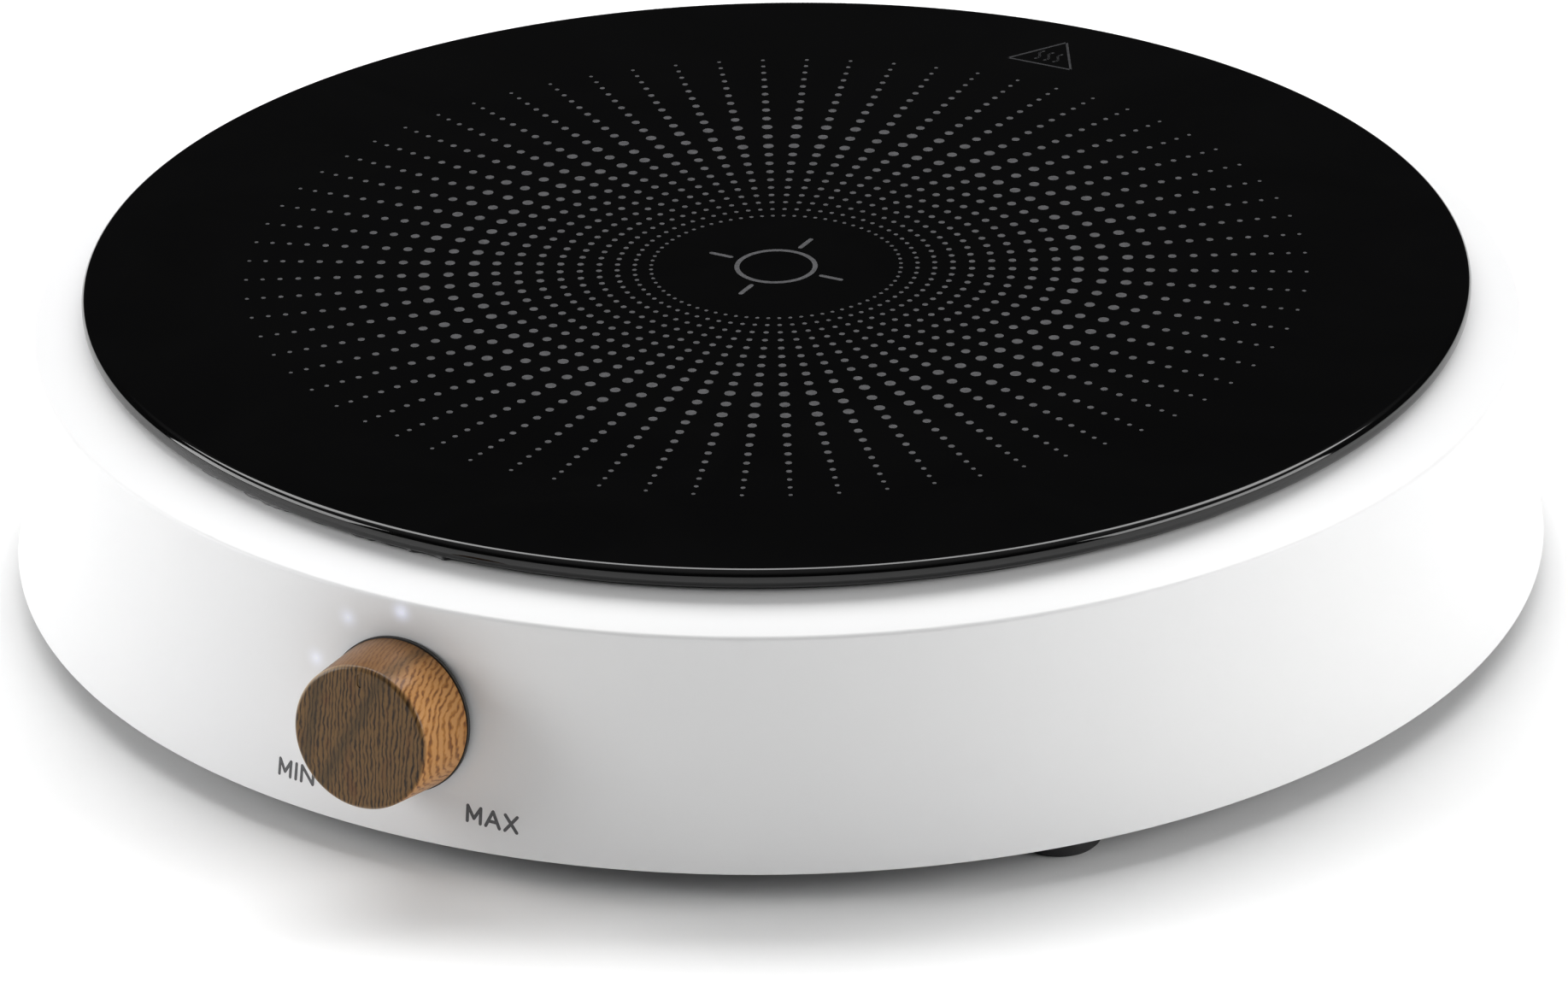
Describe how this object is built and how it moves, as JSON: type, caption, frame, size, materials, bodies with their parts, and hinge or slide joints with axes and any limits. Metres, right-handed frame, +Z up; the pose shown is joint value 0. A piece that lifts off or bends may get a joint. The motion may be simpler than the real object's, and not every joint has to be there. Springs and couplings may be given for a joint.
{
  "type": "induction hob",
  "caption": "Round table-top induction hob: black glass cooking plate on a flared white body with rubber feet and a turned wooden power knob on the front.",
  "frame": {"origin": "on the hob's vertical axis at the level its feet rest on", "axes": "+Z up, the knob faces -Y, +X to the right seen from the front"},
  "size_m": [0.3148, 0.3285, 0.0635],
  "materials": {
    "black_glass": "polished",
    "black_silicone": "matte",
    "white_shell": "satin",
    "grey_base": "matte",
    "knob_wood": "oiled",
    "foot_rubber": "matte",
    "led_lens": "diffused",
    "steel": "zinc plated",
    "aluminium": "extruded",
    "pot_metal": "stamped",
    "black_plastic": "moulded",
    "former_plastic": "moulded",
    "board_green": "solder mask",
    "grey_cable": "sheathed",
    "red_cable": "sleeved",
    "copper_wire": "enamelled",
    "ferrite": "fired",
    "mica": "matte sheet",
    "sensor_ceramic": "fired",
    "white_silicone": "matte",
    "black_epoxy": "moulded",
    "capacitor_blue": "moulded",
    "capacitor_yellow": "moulded",
    "transformer_yellow": "taped",
    "black_sleeve": "shrink sleeve",
    "terminal_green": "moulded",
    "brass_terminal": "plated",
    "white_nylon": "moulded",
    "black_rubber_grommet": "matte"
  },
  "bodies": {
    "housing": {"glass_plate": "black_glass", "glass_seal": "black_silicone", "top_shell": "white_shell", "foot_front_left": "foot_rubber", "foot_front_right": "foot_rubber", "foot_rear_left": "foot_rubber", "foot_rear_right": "foot_rubber", "indicator_leds": "led_lens", "base_cover": "grey_base", "base_screws": "steel", "potentiometer_body": "pot_metal", "potentiometer_nut": "steel", "control_board": "board_green", "control_board_screws": "steel", "led_holder": "black_plastic", "control_cable": "grey_cable", "induction_coil": "copper_wire", "coil_former": "former_plastic", "ferrite_bars": "ferrite", "mica_sheet": "mica", "coil_screws": "steel", "coil_leads": "red_cable", "thermistor": "sensor_ceramic", "thermistor_holder": "white_silicone", "thermistor_lead": "grey_cable", "main_board": "board_green", "main_board_screws": "steel", "heat_sink": "aluminium", "heat_sink_screws": "steel", "igbt": "black_epoxy", "bridge_rectifier": "black_epoxy", "thermal_cutoff": "pot_metal", "resonant_capacitor": "capacitor_blue", "filter_capacitor": "capacitor_blue", "suppressor_capacitor": "capacitor_yellow", "filter_choke": "copper_wire", "supply_transformer": "transformer_yellow", "electrolytic_capacitors": "black_sleeve", "current_sensor": "capacitor_yellow", "microcontroller": "black_epoxy", "line_fuse": "sensor_ceramic", "varistor": "capacitor_blue", "buzzer": "black_plastic", "terminal_block": "terminal_green", "coil_terminals": "brass_terminal", "board_connectors": "white_nylon", "fan_frame": "black_plastic", "fan_stator": "copper_wire", "fan_screws": "steel", "fan_lead": "grey_cable", "cord_grommet": "black_rubber_grommet", "cord_clamp": "black_plastic", "cord_clamp_screws": "steel"},
    "knob": {"control_knob": "knob_wood", "knob_hub": "black_plastic", "knob_clip": "steel", "potentiometer_shaft": "aluminium"},
    "fan": {"fan_rotor": "black_plastic", "fan_shaft": "steel"}
  },
  "joints": [
    {"name": "knob_turn", "type": "hinge", "parent": "housing", "child": "knob", "pos_m": [0, -0.15355, 0.0314], "axis": [0, 0.9942, -0.1072], "range_deg": [-135, 135]},
    {"name": "fan_spin", "type": "hinge", "parent": "housing", "child": "fan", "pos_m": [-0.058, 0.055, 0.0232], "axis": [0, 0, 1], "continuous": true}
  ]
}
